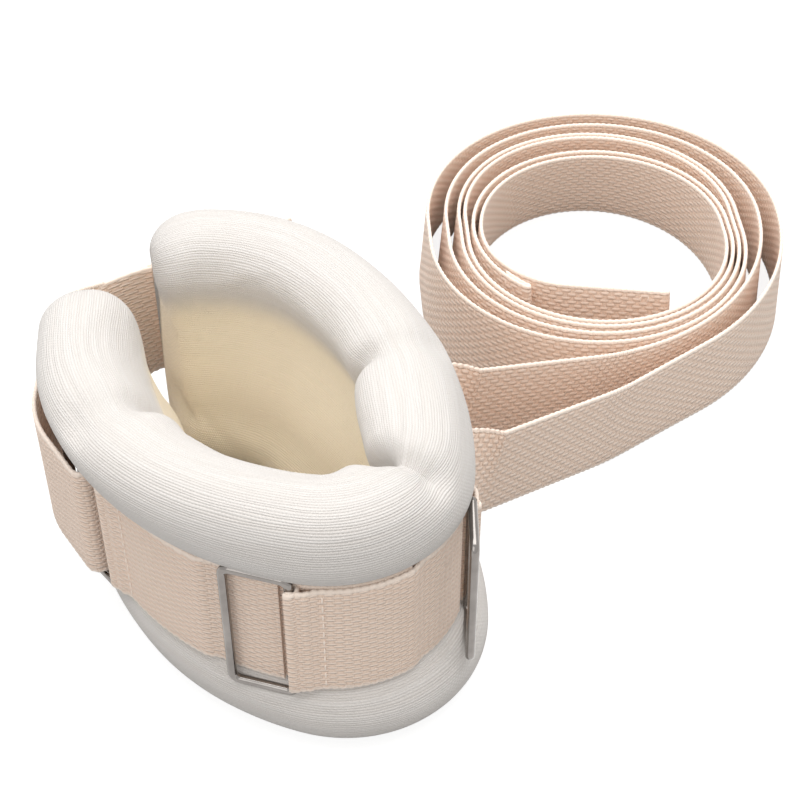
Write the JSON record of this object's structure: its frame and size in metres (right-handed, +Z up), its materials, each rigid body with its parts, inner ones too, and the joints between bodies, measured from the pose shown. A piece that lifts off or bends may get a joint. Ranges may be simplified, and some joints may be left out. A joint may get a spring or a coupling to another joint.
{
  "type": "padded limb cuff with tie straps",
  "caption": "Padded foam limb cuff in a knitted cover, with a webbing band, wire adjusting rings, a closing strap and two long tie straps rolled up beside it.",
  "frame": {"origin": "centre of the whole part's footprint, on the surface that it stands on", "axes": "+Z up, +X to the right and +Y away from a viewer who faces the three rings"},
  "size_m": [0.2982, 0.3131, 0.108],
  "materials": {
    "knit": "off-white ribbed knit",
    "foam": "soft open-cell foam",
    "webbing": "flesh-coloured fine woven webbing",
    "tie_webbing": "flesh-coloured coarse woven webbing",
    "thread": "sewing thread",
    "wire": "nickel-plated steel wire"
  },
  "bodies": {
    "cuff": {"knit_cover": "knit", "foam_core": "foam", "cover_seam_first": "thread", "cover_seam_last": "thread", "band": "webbing", "closing_strap": "webbing", "webbing_loop_a": "webbing", "webbing_loop_b": "webbing", "webbing_loop_c": "webbing", "tie_strap_front": "tie_webbing", "tie_strap_back": "tie_webbing", "loop_a_stitches": "thread", "loop_b_stitches": "thread", "loop_c_stitches": "thread", "tie_front_stitches": "thread", "tie_back_stitches": "thread", "closing_stitches": "thread", "hem_front_stitches": "thread", "hem_back_stitches": "thread"},
    "ring_a": {"ring_a": "wire"},
    "ring_b": {"ring_b": "wire"},
    "ring_c": {"ring_c": "wire"}
  },
  "joints": [
    {"name": "ring_a_swing", "type": "hinge", "parent": "cuff", "child": "ring_a", "pos_m": [-0.06196, -0.15257, 0.054], "axis": [0, 0, 1], "range_deg": [-0.5, 118]},
    {"name": "ring_b_swing", "type": "hinge", "parent": "cuff", "child": "ring_b", "pos_m": [-0.00234, -0.1206, 0.054], "axis": [0, 0, 1], "range_deg": [-8, 100]},
    {"name": "ring_c_swing", "type": "hinge", "parent": "cuff", "child": "ring_c", "pos_m": [-0.12176, -0.10492, 0.054], "axis": [0, 0, 1], "range_deg": [-3, 1]}
  ]
}
